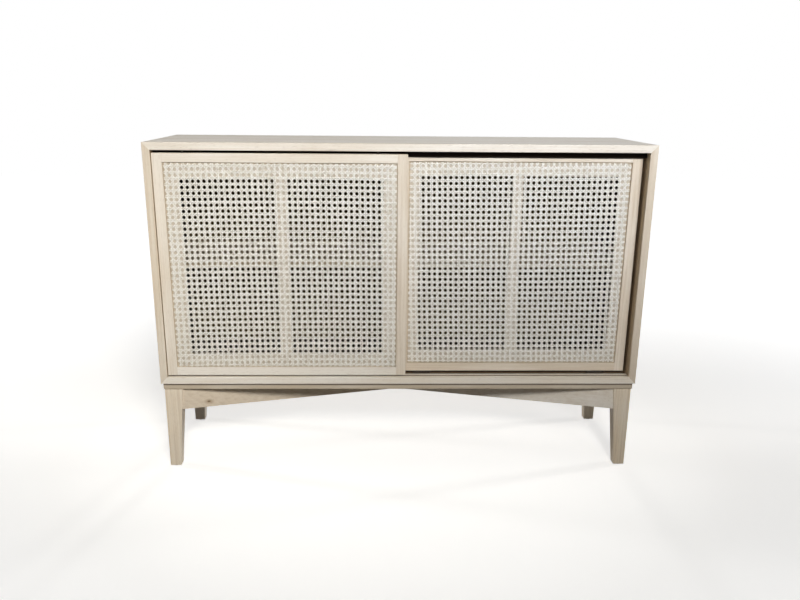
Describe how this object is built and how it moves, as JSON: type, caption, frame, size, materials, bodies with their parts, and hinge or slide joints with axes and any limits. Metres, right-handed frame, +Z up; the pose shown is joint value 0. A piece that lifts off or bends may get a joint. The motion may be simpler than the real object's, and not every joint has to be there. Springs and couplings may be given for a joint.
{
  "type": "record cabinet",
  "caption": "Low storage cabinet with woven cane sliding doors that pass each other, shelves on pins inside, and a slim base with tapered legs and crossed braces.",
  "frame": {"origin": "on the floor under the middle of the cabinet", "axes": "+X to the right as seen from the front, +Y to the back, +Z up; the doors face -Y"},
  "size_m": [1.2, 0.38, 0.814],
  "materials": {
    "limed_wood": "limed, matt",
    "plywood": "sanded, thin sealer",
    "dowel_wood": "turned, raw",
    "woven_cane": "woven peeled cane, pale and slightly glossy",
    "dark_plastic": "extruded, matt",
    "nylon": "moulded, black",
    "steel": "turned, nickel plated"
  },
  "bodies": {
    "case": {"top_panel": "limed_wood", "bottom_panel": "limed_wood", "left_side": "limed_wood", "right_side": "limed_wood", "back_panel": "plywood", "centre_divider": "limed_wood", "left_shelf": "limed_wood", "right_shelf": "limed_wood", "shelf_pins": "steel", "parting_strip": "dark_plastic", "front_base_rail": "limed_wood", "rear_base_rail": "limed_wood", "left_base_rail": "limed_wood", "right_base_rail": "limed_wood", "front_left_leg": "limed_wood", "front_right_leg": "limed_wood", "rear_left_leg": "limed_wood", "rear_right_leg": "limed_wood", "left_front_brace": "limed_wood", "right_front_brace": "limed_wood", "foot_glides": "dark_plastic", "leg_dowels": "dowel_wood", "brace_dowels": "dowel_wood"},
    "left_door": {"left_door_left_stile": "limed_wood", "left_door_right_stile": "limed_wood", "left_door_bottom_rail": "limed_wood", "left_door_top_rail": "limed_wood", "left_door_panel_left_stile": "limed_wood", "left_door_panel_right_stile": "limed_wood", "left_door_panel_bottom_rail": "limed_wood", "left_door_panel_top_rail": "limed_wood", "left_door_panel_mullion": "limed_wood", "left_door_cane": "woven_cane", "left_door_glides": "nylon", "left_door_guides": "nylon"},
    "right_door": {"right_door_left_stile": "limed_wood", "right_door_right_stile": "limed_wood", "right_door_bottom_rail": "limed_wood", "right_door_top_rail": "limed_wood", "right_door_panel_left_stile": "limed_wood", "right_door_panel_right_stile": "limed_wood", "right_door_panel_bottom_rail": "limed_wood", "right_door_panel_top_rail": "limed_wood", "right_door_panel_mullion": "limed_wood", "right_door_cane": "woven_cane", "right_door_glides": "nylon", "right_door_guides": "nylon"}
  },
  "joints": [
    {"name": "left_door_slide", "type": "slide", "parent": "case", "child": "left_door", "axis": [1, 0, 0], "range_m": [0, 0.566]},
    {"name": "right_door_slide", "type": "slide", "parent": "case", "child": "right_door", "axis": [-1, 0, 0], "range_m": [0, 0.566]}
  ]
}
